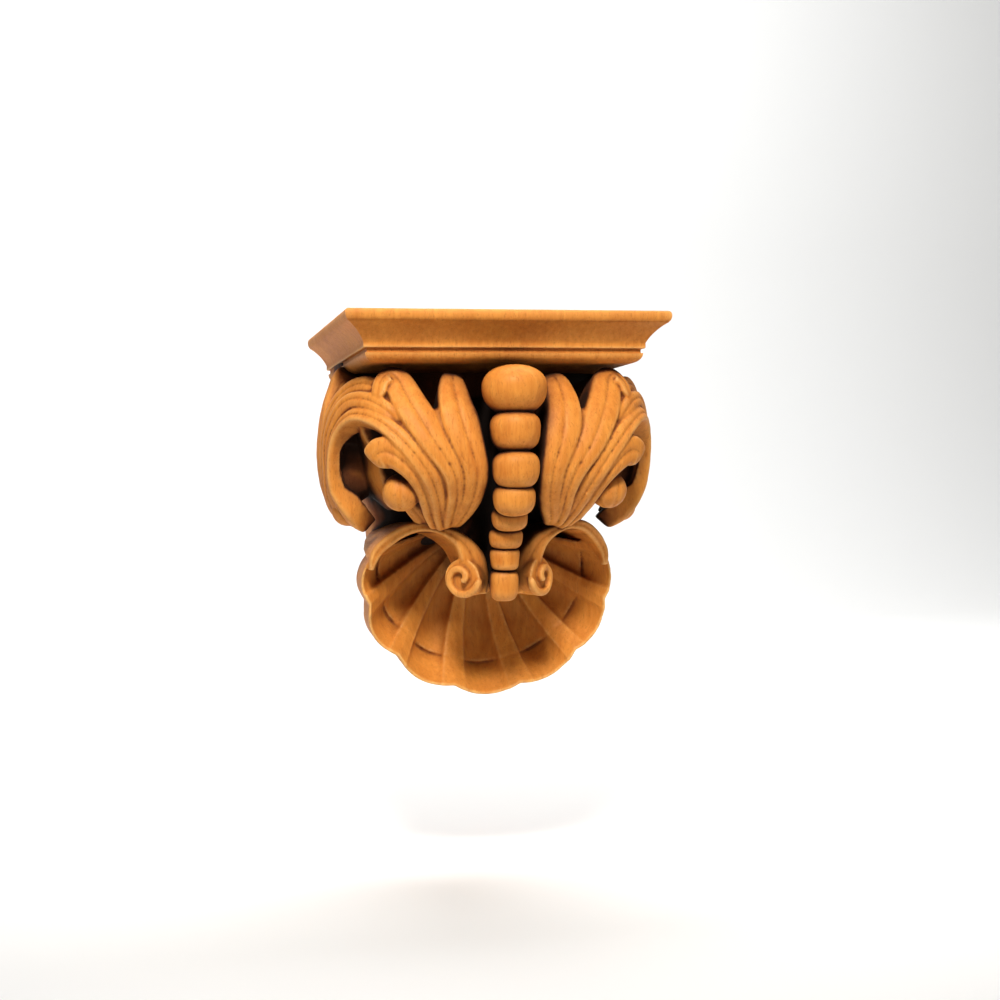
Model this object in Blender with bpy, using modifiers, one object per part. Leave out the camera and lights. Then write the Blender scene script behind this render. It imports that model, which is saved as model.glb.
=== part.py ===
# A carved wooden corbel: a moulded cap, a pair of acanthus leaves that wrap its corners,
# a string of beads down the middle and a scallop shell at the foot.
# It is carved from one block, so it is one closed body.
# Metres, +Z up, the front faces -Y, and the flat back lies on the plane Y = 0.

import math

import bmesh
import bpy
from mathutils import Matrix, Vector

# Overall sizes
WIDTH = 0.254  # the cap, across its top edge
HEIGHT = 0.300  # top of the cap to the lowest lobe of the shell
PROJECTION = 0.200  # wall to the front top edge of the cap

# Cap moulding
CAP_FASCIA = 0.0080  # upright band under the top edge
CAP_ROLL = 0.0038  # rounding of its two edges
CAP_COVE_HEIGHT = 0.0155
CAP_COVE_REACH = 0.0160  # how far the cove runs in
CAP_COVE_HOLLOW = 0.0018  # how deep the cove bows in
CAP_FILLET = 0.0042  # upright fillet at the foot of the cove
CAP_QUIRK_HEIGHT = 0.0034  # sunk line under the fillet
CAP_QUIRK_DEPTH = 0.0030
CAP_TORUS_HEIGHT = 0.0074  # rounded lower member
CAP_TORUS_REACH = 0.0085

HALF_WIDTH = WIDTH / 2
HALF_HEIGHT = HEIGHT / 2
GAUGE = WIDTH / 254  # unit of the carving's widths and depths, 1 mm as built

# Bead string, from the top: distance from the wall, height, half width and half height in
# percent, then squareness of the outline
BEADS = (
    (101, 59, 19.4, 12.8, 2.2),
    (101, 38.5, 15.0, 10.9, 2.6),
    (101, 19.3, 14.1, 9.9, 2.7),
    (98, 4.6, 12.6, 8.6, 2.7),
    (91, -5.2, 10.8, 6.4, 2.8),
    (85, -15.2, 10.2, 5.8, 3.0),
    (83, -25.8, 8.9, 5.9, 4.5),
    (81, -39.2, 8.9, 8.5, 3.2),
)
BEAD_TAPER = 0.07  # how much narrower each bead is at its foot
RIB_WIDTH = 19 * GAUGE  # the rib that ties the beads to the block
RIB_BACK = 36  # how near to the wall it starts, in percent

# Shell
SHELL_RADIUS = 101 * GAUGE  # the round of its rim
SHELL_FAN = math.radians(153)
SHELL_SPREAD = 1.065  # how much wider than round it is
SHELL_EAR_DRAW = 0.1  # how far the ears draw in from that, as a share
SHELL_FOCUS = -5  # height of the point that the flutes fan from, in percent
SHELL_FLUTES = 7
SHELL_HOLLOW_SHARE = 0.62  # width of a hollow beside the ribs between them
SHELL_FLUTE_DEPTH = 8.5 * GAUGE
SHELL_SCALLOP = 5 * GAUGE  # how far the rim swells at each flute
SHELL_SCALLOP_CUT = 0.6  # share of it that lies inside the rim's round
SHELL_STEP_DEPTH = 4.5 * GAUGE  # the line cut round the bowl
SHELL_STEP_SHARE = 0.83  # how far out it lies on the way to the rim
SHELL_RIM_REACH = 0.55 * PROJECTION  # the rim's distance from the wall
SHELL_BOWL_REACH = 0.36 * PROJECTION  # the bowl floor's distance from the wall
SHELL_EAR_REACH = 0.085 * PROJECTION  # how much further out the ears stand
SHELL_RIM_THICKNESS = 9 * GAUGE
SHELL_FLAT_SHARE = 0.3  # the bowl is flat this far out from its middle
SHELL_LIP_FLUTES = 0.5  # depth of the flutes at the rim beside that in the bowl
SHELL_RIB_STEP = 0.2  # depth of the cut line across a rib beside that in a hollow
SHELL_FRONT_SHARES = (0.02, 0.2, 0.4, 0.5, 0.6, 0.7, 0.77)  # rings from the focus to the line
SHELL_LIP_SHARES = (0.03, 0.3, 0.53, 0.76, 1.0)  # rings from the line to the rim
SHELL_BACK_SHARES = (1.0, 0.98, 0.95, 0.9, 0.85, 0.8, 0.7, 0.6, 0.5, 0.4, 0.02)
SHELL_FLUTE_STEPS = 14
SHELL_LOBE_RADIUS = SHELL_RADIUS + (1 - SHELL_SCALLOP_CUT) * SHELL_SCALLOP
SHELL_MIDDLE = SHELL_LOBE_RADIUS - HALF_HEIGHT  # height of the rim's centre
SCROLL_THICKNESS = 9 * GAUGE  # the rolled upper edge of the shell
VOLUTE_EYE = (26.6, 79, -35.5)  # across, out and up in percent
VOLUTE_RADIUS = 15.0 * GAUGE
VOLUTE_LENGTH = 34 * GAUGE
VOLUTE_BEVEL = 2 * GAUGE
VOLUTE_TURN = math.radians(42)  # how far the eye of a volute looks outwards

# Rolled end at the foot of each leaf's side
CURL_RADIUS = 13 * GAUGE
CURL_PLACE = (89, 56, 1)  # across, out and up in percent

# Bud in the hollow under the arch of each leaf
KNOB_RADIUS = 14.6 * GAUGE
KNOB_TURN = 22.3  # degrees round from the front
KNOB_HEIGHT = 4  # in percent, as in the tables
KNOB_SUNK = 13 * GAUGE  # how far its middle lies below the belly

# Mesh
VOXEL = 1.6 * GAUGE
BODY_TRIANGLES = 9300
SMOOTHING_PASSES = 2
MERGE = 0.00001
BAND_END_THICKNESS = 0.4  # thickness of a lobe at its two ends beside its middle
BAND_SQUARENESS = 3.0
CORE_SQUARENESS = 4.0
NORMAL_STEP_ROUND = 0.8  # degrees between the points that give the belly's slope
NORMAL_STEP_UP = 3  # percent of height between them
WALL_CUTTER = 0.6  # edge of the block that trims the back flat
BEHIND_WALL = 0.012  # how far the solids run past the wall before the trim

WOOD_COLOUR = (0.62, 0.27, 0.07, 1.0)
WOOD_ROUGHNESS = 0.6

# The block behind the carving: height, distance from the wall and half width in percent
CORE = (
    (84, 48, 87),
    (60, 50, 86),
    (35, 52, 80),
    (10, 52, 72),
    (-6, 48, 67),
    (-14, 38, 65),
    (-28, 31, 63),
    (-45, 29, 56),
    (-62, 20, 44),
)

# The swelling surface that the leaves are carved on: height, distance from the wall and
# half width in percent
BELLY = (
    (-30, 70, 74),
    (-20, 78, 82),
    (-12, 84, 90),
    (-5, 89, 98),
    (5, 95, 104),
    (17, 100, 107),
    (32, 101, 108),
    (48, 98, 106),
    (57, 94, 104),
    (67, 89, 100),
    (75, 84, 97),
    (85, 78, 92),
)
BELLY_SQUARENESS = 4.5
SIDE_TURN = math.radians(68)  # past this turn the sides draw in towards the wall
SIDE_TAPER = 0.09

# Each lobe is a band on the belly, from its tip to its root: angle round from the front in
# degrees, height in percent, then half width, crown above the belly and floor below it in
# units of GAUGE
INNER_LOBE = (
    (4.0, 73, 7, -6, -12),
    (4.5, 67, 10, -1, -20),
    (4.4, 58, 13, 1, -32),
    (3.7, 45, 15, 2, -40),
    (2.7, 32, 13, 2, -40),
    (1.9, 20, 10.5, 2, -40),
    (1.9, 9, 9.5, 1, -36),
    (2.5, 0, 8, 0, -30),
    (3.8, -8, 6, -3, -22),
    (5.2, -14, 4, -8, -20),
)
SECOND_LOBE = (
    (31.0, 56, 5.5, 3, -4),
    (30.2, 63, 8, 5, -8),
    (26.6, 67.6, 9.5, 5, -10),
    (22.6, 66.2, 11, 3, -16),
    (18.8, 58.8, 13, 2, -28),
    (14.0, 47.5, 13.5, 1, -38),
    (8.9, 32, 11, 2, -40),
    (5.6, 20, 9, 2, -40),
    (4.5, 9, 8, 1, -36),
    (4.8, 0, 7, 0, -30),
    (5.6, -8, 6, -3, -22),
    (6.6, -14, 4, -7, -20),
)
ARCH_RIM = (
    (8.2, -16, 5, -8, -22),
    (8.0, -8, 6, -4, -26),
    (8.2, 1, 6.5, -1, -28),
    (9.4, 10, 7, 0, -30),
    (11.4, 18, 7.5, 1, -30),
    (14.4, 25.5, 7.5, 1, -30),
    (18.6, 33, 7.5, 1, -30),
    (24.5, 40, 7, 1, -26),
    (32.0, 45.5, 6.5, 1, -22),
    (42.0, 49, 6, 0, -20),
    (51.5, 48.5, 6, 0, -20),
    (60.0, 43.5, 5.5, 0, -15),
    (65.8, 34.5, 5, 0, -10),
    (68.6, 22, 5.2, 0, -10),
    (68.8, 12, 6.5, 0, -12),
    (67.3, 4, 8.7, -1, -18),
    (65.2, -4, 10, -2, -20),
    (65.0, -9.5, 9, -3, -20),
    (65.4, -14, 7, -7, -20),
)
ARCH_MIDDLE = (
    (19.5, 41, 4, -5, -22),
    (26.0, 49, 7, 0, -24),
    (36.0, 55.5, 7.5, 1, -22),
    (50.0, 57, 7, 1, -20),
    (60.5, 51.5, 7, 1, -16),
    (67.5, 41, 7, 1, -12),
    (70.5, 28, 7, 0, -12),
    (71.5, 15, 8, 0, -14),
    (71.2, 4, 9.5, 0, -20),
    (70.0, -8, 8.5, -3, -20),
)
ARCH_BACK = (
    (21.5, 51, 5, -5, -20),
    (27.0, 58, 8, -1, -18),
    (36.0, 64, 8, 0, -18),
    (49.0, 65, 8, 0, -20),
    (61.5, 59.5, 8, 0, -18),
    (70.0, 49, 8, 0, -16),
    (74.2, 36, 8, 0, -16),
    (75.5, 21, 9, 0, -18),
    (75.6, 8, 10, 0, -22),
    (74.5, -1, 10, -1, -22),
    (72.5, -11, 7.5, -4, -20),
)
THUMB = (
    (36.0, 23.5, 11, -2, -14),
    (32.0, 28.0, 12.5, 0, -20),
    (26.6, 29.0, 11.5, 0, -24),
    (21.2, 25.5, 10, 0, -28),
    (16.4, 18.8, 8.5, 0, -28),
    (13.2, 10.0, 7, -1, -28),
    (11.4, 1.0, 6.5, -2, -28),
    (10.8, -8.0, 6, -5, -26),
    (10.4, -16, 5, -9, -24),
)
BUD = (
    (23.0, 3.5, 9, -20, -48),
    (20.0, -4.5, 9, -18, -48),
    (16.5, -11.5, 9, -14, -44),
    (13.0, -17.0, 7, -12, -40),
)
SIDE_LOBES = (
    (
        (78, 80, 7, -3, -16),
        (79, 68, 11, 0, -24),
        (79.5, 46, 13, 1, -28),
        (79, 22, 12, 1, -26),
        (77, 6, 9, -2, -26),
        (75, -5, 7, -6, -26),
    ),
    (
        (84.5, 78, 8, -3, -18),
        (84.8, 66, 12, 0, -24),
        (84.5, 43, 13, 1, -28),
        (82.5, 20, 12, 1, -26),
        (79, 5, 9, -2, -26),
        (76, -5, 7, -6, -26),
    ),
    (
        (89, 70, 8, -3, -18),
        (88.6, 58, 11, 0, -24),
        (87.8, 36, 12, 1, -28),
        (85.2, 13, 11, 0, -26),
        (80.5, 2, 8, -4, -26),
        (77, -6, 6, -8, -26),
    ),
)
LEAF_LOBES = (INNER_LOBE, SECOND_LOBE, ARCH_RIM, ARCH_MIDDLE, ARCH_BACK, THUMB, BUD) + SIDE_LOBES

# Beds that the lobes stand on, sunk below the belly
LEAF_BEDS = (
    (
        (10.5, 54, 14, -5, -80),
        (10, 46, 25, -2, -80),
        (8, 35, 29, -1, -80),
        (6, 20, 23, -1, -80),
        (5, 6, 16, -3, -80),
        (5, -8, 8, -8, -70),
    ),
    (
        (42, 66, 16, -5, -60),
        (54, 54, 16, -7, -60),
        (64, 36, 19, -28, -64),
        (64, 14, 20, -32, -64),
        (58, -4, 18, -32, -64),
        (46, -16, 14, -30, -64),
    ),
    (
        (83, 76, 22, -9, -44),
        (82, 48, 32, -5, -44),
        (82, 30, 34, -5, -44),
        (79, 12, 24, -6, -44),
        (76, -4, 14, -10, -44),
    ),
)

# The scroll of the shell's upper edge, from the volute to the ear: across, out from the
# wall and up in percent, then half thickness as a share and depth in units of GAUGE
SCROLL = (
    (15.5, 77, -44, 2.0, 30),
    (16, 78.5, -34.5, 2.3, 34),
    (18.5, 79.5, -25, 2.2, 40),
    (26, 80, -16, 1.4, 56),
    (37, 79, -10.5, 0.85, 76),
    (48, 77, -8.5, 0.85, 96),
    (58, 73.5, -10.5, 1.0, 96),
    (66.5, 69, -15.5, 1.0, 84),
    (72.4, 65, -21, 0.95, 50),
    (75, 63.2, -26, 0.75, 14),
    (76, 61.4, -31, 0.45, 6),
)


def place(x, y, z):
    """A point in percent: across as a share of the half width, out from the wall as a
    share of the projection, and up as a share of the half height."""
    return Vector((x * HALF_WIDTH, -y * PROJECTION, z * HALF_HEIGHT)) / 100


def smooth_through(rows, steps):
    """Rows of numbers joined by a Catmull-Rom curve, with so many steps between two rows."""
    rows = [Vector(row) for row in rows]
    rows = [2 * rows[0] - rows[1]] + rows + [2 * rows[-1] - rows[-2]]
    found = []
    for i in range(1, len(rows) - 2):
        before, start, end, after = rows[i - 1 : i + 3]
        for step in range(steps):
            t = step / steps
            bend = (2 * before - 5 * start + 4 * end - after) * t**2
            twist = (3 * start - before - 3 * end + after) * t**3
            found.append(0.5 * (2 * start + (end - before) * t + bend + twist))
    return found + [rows[-2]]


BELLY_CURVE = smooth_through(BELLY, 6)


def superellipse(angle, power):
    """A point on a unit superellipse: power 2 is a circle, more is squarer."""
    c = math.cos(angle)
    s = math.sin(angle)
    reach = (abs(c) ** power + abs(s) ** power) ** (-1 / power)
    return c * reach, s * reach


def round_end(i, last, steps):
    """How full a band is near its ends, which close in a half round."""
    inward = min(1.0, min(i, last - i) / steps * 2)
    return math.sqrt(max(0.03, 1 - (1 - inward) ** 2))


def skin(bm, rings):
    """Joins rings with equal numbers of points into a closed surface."""
    rings = [[bm.verts.new(point) for point in ring] for ring in rings]
    faces = []
    count = len(rings[0])
    for lower, upper in zip(rings, rings[1:]):
        for i in range(count):
            j = (i + 1) % count
            faces.append(bm.faces.new((lower[i], lower[j], upper[j], upper[i])))
    faces.append(bm.faces.new(rings[0]))
    faces.append(bm.faces.new(rings[-1]))
    bmesh.ops.recalc_face_normals(bm, faces=faces)


def at_height(rows, height):
    """The other columns of a table sorted by height, read between its rows."""
    for lower, upper in zip(rows, rows[1:]):
        if height <= upper[0]:
            t = max(0.0, (height - lower[0]) / (upper[0] - lower[0]))
            return [a + (b - a) * t for a, b in zip(lower[1:], upper[1:])]
    return rows[-1][1:]


def belly(angle, height):
    """A point of the swelling surface."""
    reach, half_width = at_height(BELLY_CURVE, height)
    turn = math.radians(min(max(angle, 0), 90))
    power = 2 / BELLY_SQUARENESS
    past = max(0.0, turn - SIDE_TURN) / (math.pi / 2 - SIDE_TURN)
    across = half_width * math.sin(turn) ** power * (1 - SIDE_TAPER * past * past)
    out = reach * max(0.0, math.cos(turn)) ** power
    return place(across, out, height)


def belly_normal(angle, height):
    """The direction that points straight out of the belly."""
    left = belly(max(0.01, angle - NORMAL_STEP_ROUND), height)
    right = belly(min(angle + NORMAL_STEP_ROUND, 89.9), height)
    step_up = belly(angle, height + NORMAL_STEP_UP) - belly(angle, height - NORMAL_STEP_UP)
    return (right - left).cross(step_up).normalized()


def add_band(bm, rows, side, sides=18, steps=6):
    """A tapering band that follows the belly, with a rounded crown and steep edges."""
    stations = smooth_through(rows, steps)
    points = [belly(row[0], row[1]) for row in stations]
    last = len(stations) - 1
    rings = []
    for i, row in enumerate(stations):
        normal = belly_normal(row[0], row[1])
        along = (points[min(i + 1, last)] - points[max(i - 1, 0)]).normalized()
        across = along.cross(normal).normalized()
        width, crown, floor = [value * GAUGE for value in row[2:]]
        full = round_end(i, last, steps)
        middle = points[i] + normal * (crown + floor) / 2
        thick = (crown - floor) / 2 * (BAND_END_THICKNESS + (1 - BAND_END_THICKNESS) * full)
        ring = []
        for k in range(sides):
            u, v = superellipse(2 * math.pi * k / sides, BAND_SQUARENESS)
            spot = middle + across * (u * width * full) + normal * (v * thick)
            ring.append(Vector((spot.x * side, spot.y, spot.z)))
        rings.append(ring)
    skin(bm, rings)


def add_turned(bm, centre, axis, profile, sides=24):
    """A turned solid: its profile holds radius and distance along the axis, and starts and
    ends on the axis."""
    own = bmesh.new()
    spots = [own.verts.new((radius, 0, along)) for radius, along in profile]
    edges = [own.edges.new(pair) for pair in zip(spots, spots[1:])]
    bmesh.ops.spin(own, geom=spots + edges, axis=(0, 0, 1), angle=2 * math.pi, steps=sides)
    bmesh.ops.remove_doubles(own, verts=own.verts, dist=MERGE)
    bmesh.ops.recalc_face_normals(own, faces=own.faces)
    turn = axis.to_track_quat("Z", "Y").to_matrix().to_4x4()
    bmesh.ops.transform(own, matrix=Matrix.Translation(centre) @ turn, verts=own.verts)
    mesh = finish_mesh(own, "turned")
    bm.from_mesh(mesh)
    bpy.data.meshes.remove(mesh)


def add_box(bm, low, high):
    size = high - low
    matrix = Matrix.Translation((low + high) / 2) @ Matrix.Diagonal((*size, 1))
    bmesh.ops.create_cube(bm, size=1, matrix=matrix)


def add_core(bm):
    rings = []
    for height, reach, half_width in reversed(CORE):
        front = place(half_width, reach, height)
        middle = (front.y + BEHIND_WALL) / 2
        ring = []
        for k in range(32):
            u, v = superellipse(2 * math.pi * k / 32, CORE_SQUARENESS)
            ring.append(Vector((front.x * u, middle + (BEHIND_WALL - middle) * v, front.z)))
        rings.append(ring)
    skin(bm, rings)


def add_beads(bm):
    """The bead string, and the rib behind it that ties the beads to the block."""
    rings = []
    for out, height, half_width, half_height, power in BEADS:
        centre = place(0, out, height)
        radius = half_width * HALF_WIDTH / 100
        reach = half_height * HALF_HEIGHT / 100
        profile = []
        for i in range(17):
            across, along = superellipse(math.pi * (i / 16 - 0.5), power)
            profile.append((radius * across * (1 + BEAD_TAPER * along), reach * along))
        add_turned(bm, centre, Vector((0, 0, 1)), profile)

        low = centre.y + RIB_WIDTH / 4
        back = place(0, RIB_BACK, 0).y
        half = RIB_WIDTH / 2
        corners = ((-half, low), (half, low), (half, back), (-half, back))
        rings.append([Vector((x, y, centre.z)) for x, y in corners])
    skin(bm, rings)


def add_ball(bm, centre, radius):
    matrix = Matrix.Translation(centre)
    bmesh.ops.create_uvsphere(bm, u_segments=20, v_segments=12, radius=radius, matrix=matrix)


def add_leaf(bm, side):
    for band in LEAF_BEDS + LEAF_LOBES:
        add_band(bm, band, side)
    add_ball(bm, place(CURL_PLACE[0] * side, CURL_PLACE[1], CURL_PLACE[2]), CURL_RADIUS)
    normal = belly_normal(KNOB_TURN, KNOB_HEIGHT)
    knob = belly(KNOB_TURN, KNOB_HEIGHT) - normal * KNOB_SUNK
    add_ball(bm, Vector((knob.x * side, knob.y, knob.z)), KNOB_RADIUS)


def shell_point(angle, share, front):
    """A point of the shell: angle round the focus from straight down, share of the way to the rim."""
    flute = (angle / SHELL_FAN + 0.5) * SHELL_FLUTES % 1 * 2 - 1
    swell = math.cos(math.pi / 2 * flute)
    hollow = math.sqrt(max(0.0, 1 - (flute / SHELL_HOLLOW_SHARE) ** 2))
    focus = place(0, 0, SHELL_FOCUS).z
    drop = focus - SHELL_MIDDLE
    radius = SHELL_RADIUS + SHELL_SCALLOP * (swell - SHELL_SCALLOP_CUT)
    to_rim = drop * math.cos(angle) + math.sqrt(radius**2 - (drop * math.sin(angle)) ** 2)
    distance = to_rim * share
    x = distance * math.sin(angle)
    z = focus - distance * math.cos(angle)
    from_middle = min(1.0, math.hypot(x, z - SHELL_MIDDLE) / radius)
    rim_reach = SHELL_RIM_REACH + SHELL_EAR_REACH * (2 * angle / SHELL_FAN) ** 2
    rise = max(0.0, (from_middle - SHELL_FLAT_SHARE) / (1 - SHELL_FLAT_SHARE))
    past_step = max(0.0, (share - SHELL_STEP_SHARE) / (1 - SHELL_STEP_SHARE))
    flute_depth = SHELL_FLUTE_DEPTH * min(1.0, distance / SHELL_RADIUS)
    flute_depth *= 1 - (1 - SHELL_LIP_FLUTES) * past_step
    if front:
        reach = SHELL_BOWL_REACH + (rim_reach - SHELL_BOWL_REACH) * rise**2
        reach -= flute_depth * hollow
        if past_step > 0:
            cut = SHELL_STEP_DEPTH * max(0.0, 1 - 2 * past_step)
            reach -= cut * (SHELL_RIB_STEP + (1 - SHELL_RIB_STEP) * hollow)
    else:
        edge = rim_reach - SHELL_RIM_THICKNESS
        reach = edge - (edge + BEHIND_WALL) * math.sqrt(max(0.0, 1 - rise * rise))
        reach -= flute_depth * hollow * rise
    x *= SHELL_SPREAD * (1 - SHELL_EAR_DRAW * (2 * angle / SHELL_FAN) ** 4)
    return Vector((x, -reach, z))


def add_shell(bm):
    turns = SHELL_FLUTES * SHELL_FLUTE_STEPS
    lip = 1 - SHELL_STEP_SHARE
    fronts = SHELL_FRONT_SHARES + (SHELL_STEP_SHARE,)
    fronts += tuple(SHELL_STEP_SHARE + lip * share for share in SHELL_LIP_SHARES)
    rings = []
    for i in range(turns + 1):
        angle = (i / turns - 0.5) * SHELL_FAN
        ring = [shell_point(angle, share, True) for share in fronts]
        ring += [shell_point(angle, share, False) for share in SHELL_BACK_SHARES]
        rings.append(ring)
    skin(bm, rings)


def add_scroll(bm, side):
    """The scroll that rolls from a volute up and out to the shell's ear."""
    steps = 5
    stations = smooth_through(SCROLL, steps)
    points = [place(row[0], row[1], row[2]) for row in stations]
    last = len(stations) - 1
    rings = []
    for i, row in enumerate(stations):
        along = points[min(i + 1, last)] - points[max(i - 1, 0)]
        across = Vector((-along.z, 0, along.x)).normalized()
        half = SCROLL_THICKNESS / 2 * row[3]
        depth = row[4] * GAUGE
        ring = []
        for k in range(20):
            u, v = superellipse(2 * math.pi * k / 20, BAND_SQUARENESS)
            spot = points[i] + across * (u * half) + Vector((0, depth / 2 * (1 + v), 0))
            ring.append(Vector((spot.x * side, spot.y, spot.z)))
        rings.append(ring)
    skin(bm, rings)

    eye = place(*VOLUTE_EYE)
    eye.x *= side
    axis = Vector((math.sin(VOLUTE_TURN) * side, -math.cos(VOLUTE_TURN), 0))
    profile = (
        (0, -VOLUTE_LENGTH),
        (VOLUTE_RADIUS, -VOLUTE_LENGTH),
        (VOLUTE_RADIUS, -VOLUTE_BEVEL),
        (VOLUTE_RADIUS - VOLUTE_BEVEL, 0),
        (0, 0),
    )
    add_turned(bm, eye, axis, profile)


def eased(corner, before, after, radius, steps=5):
    """Points that round off a corner between the points before and after it."""
    corner = Vector(corner)
    start = corner + (Vector(before) - corner).normalized() * radius
    end = corner + (Vector(after) - corner).normalized() * radius
    shares = [i / steps for i in range(steps + 1)]
    return [start.lerp(corner, t).lerp(corner.lerp(end, t), t) for t in shares]


def cap_profile():
    """Distance in from the top edge and down from the top, from top to foot."""
    top_edge = (0, 0)
    foot_edge = (0, CAP_FASCIA)
    cove_foot = (CAP_COVE_REACH, CAP_FASCIA + CAP_COVE_HEIGHT)
    profile = eased(top_edge, (CAP_ROLL, 0), foot_edge, CAP_ROLL)
    profile += eased(foot_edge, top_edge, cove_foot, CAP_ROLL)
    slope = Vector((CAP_COVE_HEIGHT, -CAP_COVE_REACH)).normalized()
    parts = 8
    for i in range(3, parts):
        t = i / parts
        bow = slope * CAP_COVE_HOLLOW * 4 * t * (1 - t)
        profile.append((CAP_COVE_REACH * t + bow.x, CAP_FASCIA + CAP_COVE_HEIGHT * t + bow.y))
    profile.append(cove_foot)
    foot = cove_foot[1] + CAP_FILLET
    profile.append((CAP_COVE_REACH, foot))
    profile.append((CAP_COVE_REACH + CAP_QUIRK_DEPTH, foot))
    foot += CAP_QUIRK_HEIGHT
    profile.append((CAP_COVE_REACH + CAP_QUIRK_DEPTH, foot))
    start = CAP_COVE_REACH + CAP_QUIRK_DEPTH / 2
    parts = 5
    for i in range(parts + 1):
        angle = math.pi / 2 * i / parts
        inward = start + CAP_TORUS_REACH * (1 - math.cos(angle))
        profile.append((inward, foot + CAP_TORUS_HEIGHT * math.sin(angle)))
    return profile


def cap_mesh():
    bm = bmesh.new()
    rings = []
    for inward, down in cap_profile():
        x = HALF_WIDTH - inward
        y = PROJECTION - inward
        z = HALF_HEIGHT - down
        back = BEHIND_WALL
        rings.append([Vector(p) for p in ((x, back, z), (-x, back, z), (-x, -y, z), (x, -y, z))])
    skin(bm, rings)
    return finish_mesh(bm, "cap")


def finish_mesh(bm, name):
    mesh = bpy.data.meshes.new(name)
    bm.to_mesh(mesh)
    bm.free()
    return mesh


def add_object(name, mesh, collection):
    thing = bpy.data.objects.new(name, mesh)
    collection.objects.link(thing)
    return thing


def apply_modifiers(thing):
    graph = bpy.context.evaluated_depsgraph_get()
    mesh = bpy.data.meshes.new_from_object(thing.evaluated_get(graph))
    thing.modifiers.clear()
    thing.data = mesh


def make_cutter(name, mesh, collection):
    thing = add_object(name, mesh, collection)
    thing.hide_render = True
    thing.display_type = "WIRE"
    return thing


def wood_material():
    material = bpy.data.materials.new("carved_wood")
    material.use_nodes = True
    shader = material.node_tree.nodes["Principled BSDF"]
    shader.inputs["Base Color"].default_value = WOOD_COLOUR
    shader.inputs["Roughness"].default_value = WOOD_ROUGHNESS
    shader.inputs["Metallic"].default_value = 0.0
    material.diffuse_color = WOOD_COLOUR
    return material


def carving_mesh():
    """Every carved form as its own closed shell, overlapping its neighbours."""
    bm = bmesh.new()
    add_core(bm)
    add_beads(bm)
    add_shell(bm)
    for side in (-1, 1):
        add_leaf(bm, side)
        add_scroll(bm, side)
    return finish_mesh(bm, "corbel")


def build():
    for thing in list(bpy.data.objects):
        bpy.data.objects.remove(thing)
    parts = bpy.data.collections.new("corbel")
    cutters = bpy.data.collections.new("cutters")
    bpy.context.scene.collection.children.link(parts)
    bpy.context.scene.collection.children.link(cutters)

    corbel = add_object("corbel", carving_mesh(), parts)
    remesh = corbel.modifiers.new("one_body", "REMESH")
    remesh.mode = "VOXEL"
    remesh.voxel_size = VOXEL
    soften = corbel.modifiers.new("soften", "SMOOTH")
    soften.factor = 0.5
    soften.iterations = round(SMOOTHING_PASSES)
    apply_modifiers(corbel)
    triangles = sum(len(face.vertices) - 2 for face in corbel.data.polygons)
    facets = corbel.modifiers.new("facets", "DECIMATE")
    facets.ratio = BODY_TRIANGLES / triangles
    apply_modifiers(corbel)

    join = corbel.modifiers.new("cap", "BOOLEAN")
    join.operation = "UNION"
    join.object = make_cutter("cap_block", cap_mesh(), cutters)

    bm = bmesh.new()
    corner = Vector((WALL_CUTTER / 2, 0, WALL_CUTTER / 2))
    add_box(bm, -corner, corner + Vector((0, WALL_CUTTER, 0)))
    trim = corbel.modifiers.new("flat_back", "BOOLEAN")
    trim.operation = "DIFFERENCE"
    trim.object = make_cutter("wall_trim", finish_mesh(bm, "wall_trim"), cutters)

    corbel.data.materials.append(wood_material())
    corbel.data.shade_smooth()
    corbel.data.set_sharp_from_angle(angle=math.radians(40))


build()
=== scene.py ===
import math

import bmesh
import bpy
import numpy as np
from mathutils import Matrix, Vector, noise
from mathutils.bvhtree import BVHTree


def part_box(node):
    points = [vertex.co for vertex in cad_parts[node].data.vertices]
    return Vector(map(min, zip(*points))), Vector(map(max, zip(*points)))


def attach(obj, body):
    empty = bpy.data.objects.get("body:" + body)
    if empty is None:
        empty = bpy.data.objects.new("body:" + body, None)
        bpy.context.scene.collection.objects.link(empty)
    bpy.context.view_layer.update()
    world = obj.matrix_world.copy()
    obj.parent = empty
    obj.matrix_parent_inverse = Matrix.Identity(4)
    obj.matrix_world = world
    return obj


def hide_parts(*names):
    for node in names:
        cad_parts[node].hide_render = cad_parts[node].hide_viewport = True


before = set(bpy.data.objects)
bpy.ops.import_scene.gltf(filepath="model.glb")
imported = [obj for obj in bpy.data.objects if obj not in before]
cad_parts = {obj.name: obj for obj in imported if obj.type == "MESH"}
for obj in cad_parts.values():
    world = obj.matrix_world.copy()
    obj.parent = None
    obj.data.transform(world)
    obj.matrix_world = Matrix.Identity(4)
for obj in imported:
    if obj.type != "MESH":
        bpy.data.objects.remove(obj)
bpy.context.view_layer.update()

# A corbel carved from one block of wood: moulded cap, acanthus leaves, beads and a shell.
# Metres, +Z up, the front faces -Y and the back lies on Y = 0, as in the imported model.

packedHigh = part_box("corbel")[1]

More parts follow.
